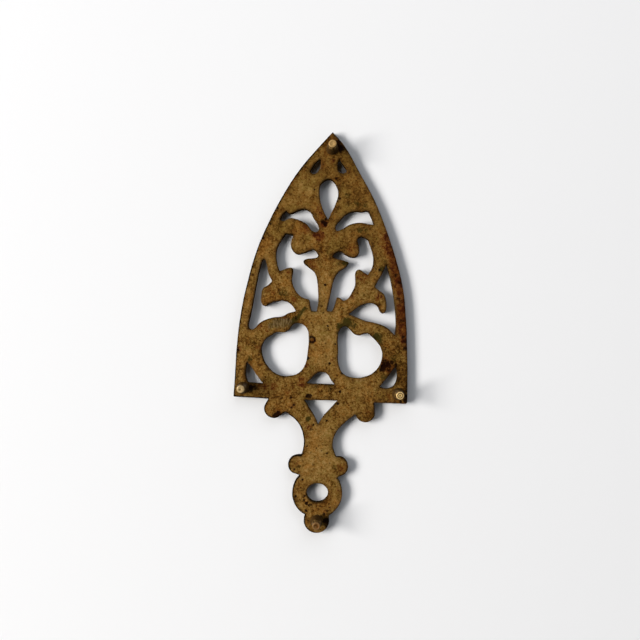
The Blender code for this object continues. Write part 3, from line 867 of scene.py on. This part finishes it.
class PlateBuilder:
    """Builds the casting's mesh: the walls of its edges and rivet holes first, then its two faces."""

    def __init__(self, outlines, rivets):
        self.outlines = outlines
        self.rivets = rivets
        self.outer = max(outlines, key=lambda outline: abs(signed_area(outline.points)))
        self.edges = EdgeFinder(outlines)
        self.rim = EdgeFinder([self.outer])
        self.parts = MeshParts()
        self.under_rings = []
        self.top_rings = []

    def add_ring(self, ring, height, **values):
        return self.parts.add(np.column_stack([ring, np.full(len(ring), height)]), **values)

    def add_wall(self, rings, firsts):
        """Joins rings of points, and keeps the end ones with their first vertices for the two faces."""
        self.parts.add_wall(firsts, len(rings[0]))
        self.under_rings.append((rings[0], firsts[0]))
        self.top_rings.append((rings[-1], firsts[-1]))

    def add_edge(self, outline, seed):
        """The wall at an outline, with both arrises, and uneven between them."""
        profile = edge_profile()
        rings = []
        firsts = []
        for level, (inset, height) in enumerate(profile):
            ring = outline.inset(inset)
            if 1 < level < len(profile) - 2:
                marks = np.clip(0.5 + 0.5 * swell(outline.points + level * 3.1, seed, 3.0), 0.0, 1.0)
                ring = ring + outline.inward * (FILE_MARKS * marks)[:, None]
            values = {"edge_mm": np.full(len(ring), inset)}
            if level < 3:
                from_rim = np.zeros(len(ring)) if outline is self.outer else self.rim.depth(ring)
                values.update(stains(ring, from_rim))
            rings.append(ring)
            firsts.append(self.add_ring(ring, height, **values))
        self.add_wall(rings, firsts)

    def add_rivet_hole(self, centre, low_radius, high_radius):
        """A straight hole with a countersink at its top."""
        turn = -np.arange(RIVET_SIDES) * 2 * np.pi / RIVET_SIDES
        circle = np.stack([np.cos(turn), np.sin(turn)], axis=1)
        countersink = TOP_FACE - (high_radius - low_radius) / COUNTERSINK_SLOPE
        rings = [centre + circle * radius for radius in (low_radius, low_radius, high_radius)]
        heights = (UNDERSIDE, countersink, TOP_FACE)
        firsts = [self.add_ring(ring, height, edge_mm=np.ones(RIVET_SIDES))
                  for ring, height in zip(rings, heights)]
        self.add_wall(rings, firsts)

    def free_points(self, rings, spacing, pits):
        """The points inside a flat face: the pits' own, then rows along the edges, then an even grid."""
        taken = np.vstack([ring for ring, first in rings])
        rows = [spread_out(pits, PIT_SPACING, taken)] if len(pits) else []
        for inset in RING_INSETS:
            row = np.vstack([outline.inset(inset) for outline in self.outlines])
            row = row[self.edges.depth(row) > inset * 0.85]
            rows.append(spread_out(row, ROW_SPACING, np.vstack([taken] + rows)))
        grid = hex_points(spacing)
        grid = grid[self.edges.depth(grid) > RING_INSETS[-1] + 0.35]
        rows.append(spread_out(grid, spacing * 0.62, np.vstack([taken] + rows)))
        free = np.vstack(rows)
        free = free[self.edges.depth(free) > 0.45]
        for centre, _, high_radius in self.rivets:
            free = free[np.hypot(*(free - centre).T) > high_radius + 0.5]
        return free

    def unevenness(self, points, depth, seed):
        """The casting's swell at those points, and how much of it there is: none at edges or feet."""
        away = np.min([np.hypot(*(points - rivet[0]).T) for rivet in self.rivets], axis=0)
        fade = np.clip((depth - 0.5) / 1.5, 0.0, 1.0)
        return swell(points, seed, 9.0), fade * np.clip((away - FLAT_AROUND_FOOT) / 2.0, 0.0, 1.0)

    def add_face(self, rings, free, heights, values):
        """Fills a face between its rings and through its free points. Returns its triangles."""
        first_free = self.parts.add(np.column_stack([free, heights]), **values)
        sources = [np.arange(len(ring)) + first for ring, first in rings]
        vertices = np.concatenate(sources + [np.arange(len(free)) + first_free])
        return vertices[fill_face([ring for ring, first in rings], free)]

    def add_underside(self):
        """The lower face, which swells a little and has pits under its dark spots, the painted foot shadows
        included.
        """
        free = self.free_points(self.under_rings, UNDER_SPACING, spot_points(DARK_SPOTS_AND_FOOT_SHADOWS))
        depth = self.edges.depth(free)
        values = {"edge_mm": np.minimum(depth, 5.0), **stains(free, self.rim.depth(free))}
        uneven, fade = self.unevenness(free, depth, 3.7)
        pits = np.clip(values["dark"] - 0.45, 0.0, 0.55) / 0.55
        heights = UNDERSIDE + CAST_SWELL * uneven * fade + PIT_DEPTH * pits * np.clip(depth, 0.0, 1.0)
        triangles = self.add_face(self.under_rings, free, heights, values)
        self.parts.faces += triangles[:, ::-1].tolist()

    def add_top_face(self):
        """The upper face, never above the height that the CAD gives it."""
        free = self.free_points(self.top_rings, TOP_SPACING, [])
        depth = self.edges.depth(free)
        uneven, fade = self.unevenness(free, depth, 9.1)
        heights = TOP_FACE - CAST_SWELL * (0.5 + 0.5 * np.clip(uneven, -1.0, 1.0)) * fade
        triangles = self.add_face(self.top_rings, free, heights, {"edge_mm": np.minimum(depth, 5.0)})
        self.parts.faces += triangles.tolist()


def fine_plate(outlines, rivets):
    """The casting as a fine closed mesh: soft arrises, uneven skin, pits, and the values of its stains."""
    plate = PlateBuilder(outlines, rivets)
    for number, outline in enumerate(outlines):
        plate.add_edge(outline, number + 0.5)
    for rivet in rivets:
        plate.add_rivet_hole(*rivet)
    plate.add_underside()
    plate.add_top_face()
    mesh = plate.parts.build("plate_casting")
    work = bmesh.new()
    work.from_mesh(mesh)
    bmesh.ops.recalc_face_normals(work, faces=work.faces)
    work.to_mesh(mesh)
    work.free()
    mesh.shade_smooth()
    return mesh


def add_piece(mesh, material, node, location=(0.0, 0.0, 0.0)):
    """Puts a fine mesh in the scene in place of its CAD node, under the mesh's own name."""
    mesh.materials.append(material)
    piece = new_object(mesh.name, mesh)
    piece.location = location
    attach(piece, "root")
    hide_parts(node)


# ---- the feet

FOOT_SIDES = 64
SEAT_GAP = 0.03  # mm between a foot's shoulder and the plate
HEAD_SEAM = 0.07  # mm of seam around a peened head
TENON_GAP = 0.12  # mm around the tenon in its hole, and the bevel of the shoulder
TIP_SHARE = 2 / 3  # a tip's radius as a share of its base's
TAPER_STEPS = 10
FLARE = 0.35  # mm that the body widens by under its shoulder
OUT_OF_ROUND = 0.05  # mm
MARK_DEPTH = 0.25  # mm, of the mark beside the middle of a tip
MARK_RADIUS = 0.55

# What differs from foot to foot: the colour of the worn tip, bright and dull, and of its middle, the radius
# of that middle and how deep it is, and for some a turned groove (ring) or a mark beside the middle.
FEET = {
    "nose_foot": {
        "tip": paint(180, 145, 91, 1.28), "tip_dull": paint(148, 115, 70, 1.28),
        "centre": paint(206, 168, 108, 1.36), "radius": 0.9, "sunk": 0.06},
    "handle_foot": {
        "tip": paint(138, 103, 64, 1.2), "tip_dull": paint(100, 70, 37, 1.2),
        "centre": paint(118, 60, 0, 1.05), "radius": 1.30, "sunk": 0.12},
    "right_rear_foot": {
        "tip": paint(178, 153, 110, 1.3), "tip_dull": paint(142, 117, 78, 1.3),
        "centre": paint(172, 146, 103, 1.3), "radius": 0.3, "sunk": 0.04, "mark": (0.50, -0.40)},
    "left_rear_foot": {
        "tip": paint(222, 190, 130, 1.36), "tip_dull": paint(190, 157, 100, 1.36),
        "centre": paint(200, 164, 84, 1.38), "radius": 0.60, "sunk": 0.12, "ring": 1.45},
}


def foot_section(node, details, hole, mouth):
    """Half section of a fine foot as (radius, height), from the middle of its head down to its tip.

    hole and mouth are the radii of its rivet hole at the underside and at the top face.
    """
    low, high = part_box(node)
    base = (high[0] - low[0]) / 2 / MM
    tip = base * TIP_SHARE
    head_top = high[2] / MM
    bottom = low[2] / MM
    head = mouth - HEAD_SEAM
    tenon = hole - TENON_GAP
    neck = TOP_FACE - (mouth - hole) / COUNTERSINK_SLOPE - 0.1
    shoulder = UNDERSIDE - SEAT_GAP
    section = [(0.0, head_top), (head * 0.55, head_top), (head - 0.25, head_top - 0.01),
               (head - 0.05, head_top - 0.08), (tenon, neck), (tenon, shoulder),
               (base - TENON_GAP, shoulder), (base - 0.01, shoulder - 0.12), (base - 0.02, shoulder - 0.55)]
    widest, highest, lowest = base - 0.45, shoulder - 0.9, bottom + 0.5
    for step in range(TAPER_STEPS + 1):
        share = step / TAPER_STEPS
        radius = widest + (tip + 0.02 - widest) * share + FLARE * (1 - share) ** 5
        section.append((radius, highest + (lowest - highest) * share))
    section += [(tip - 0.06, bottom + 0.22), (tip - 0.22, bottom + 0.06), (tip - 0.45, bottom)]
    if "ring" in details:
        ring = details["ring"]
        section += [(ring + 0.28, bottom), (ring + 0.10, bottom + 0.10), (ring - 0.10, bottom + 0.10),
                    (ring - 0.28, bottom + 0.01)]
    centre, sunk = details["radius"], details["sunk"]
    section += [(centre + 0.12, bottom + 0.01), (centre, bottom + 0.04 + sunk * 0.3),
                (centre * 0.5, bottom + 0.04 + sunk * 0.85), (0.0, bottom + 0.04 + sunk)]
    return section


def turned_ring(radius, height, seed, mark):
    """The points of a foot at one height, a little out of round, with the mark sunk into its tip."""
    places = []
    for side in range(FOOT_SIDES):
        turn = 2 * math.pi * side / FOOT_SIDES
        x, y = math.cos(turn), math.sin(turn)
        uneven = noise.noise(Vector((x * 1.3, y * 1.3, height * 0.35 + seed)))
        shrink = OUT_OF_ROUND * (0.5 + 0.5 * uneven) * min(1.0, radius)
        dip = 0.0
        if mark and height < 0.3:
            away = math.hypot(x * radius - mark[0], y * radius - mark[1])
            dip = MARK_DEPTH * max(0.0, 1 - away / MARK_RADIUS)
        places.append((x * (radius - shrink), y * (radius - shrink), height + dip))
    return places


def lathe(section, name, seed, mark):
    """A closed turned mesh from a half section."""
    places = []
    faces = []
    rings = []
    for radius, height in section:
        ring = turned_ring(radius, height, seed, mark) if radius else [(0.0, 0.0, height)]
        rings.append(range(len(places), len(places) + len(ring)))
        places += ring
    for upper, lower in zip(rings, rings[1:]):
        for side in range(FOOT_SIDES):
            after = (side + 1) % FOOT_SIDES
            if len(upper) == 1:
                faces.append((upper[0], lower[side], lower[after]))
            elif len(lower) == 1:
                faces.append((upper[side], lower[0], upper[after]))
            else:
                faces.append((upper[side], lower[side], lower[after], upper[after]))
    mesh = bpy.data.meshes.new(name)
    mesh.from_pydata([tuple(value * MM for value in place) for place in places], [], faces)
    mesh.update()
    mesh.shade_smooth()
    mesh.set_sharp_from_angle(angle=math.radians(55))
    return mesh


def fine_feet(rivets):
    """The four turned feet, each with its own tip."""
    for number, (node, details) in enumerate(FEET.items()):
        centre = box_centre(node)
        hole, mouth = next((low, high) for place, low, high in rivets if np.hypot(*(place - centre)) < 0.5)
        section = foot_section(node, details, hole, mouth)
        mesh = lathe(section, node + "_turned", number * 7.3, details.get("mark"))
        material = foot_brass(node + "_brass", details)
        add_piece(mesh, material, node, (*(centre * MM), 0.0))


look_up_camera()
studio()
plate_edges, rivet_holes = plate_outlines()
add_piece(fine_plate(plate_edges, rivet_holes), plate_brass(), "plate")
fine_feet(rivet_holes)
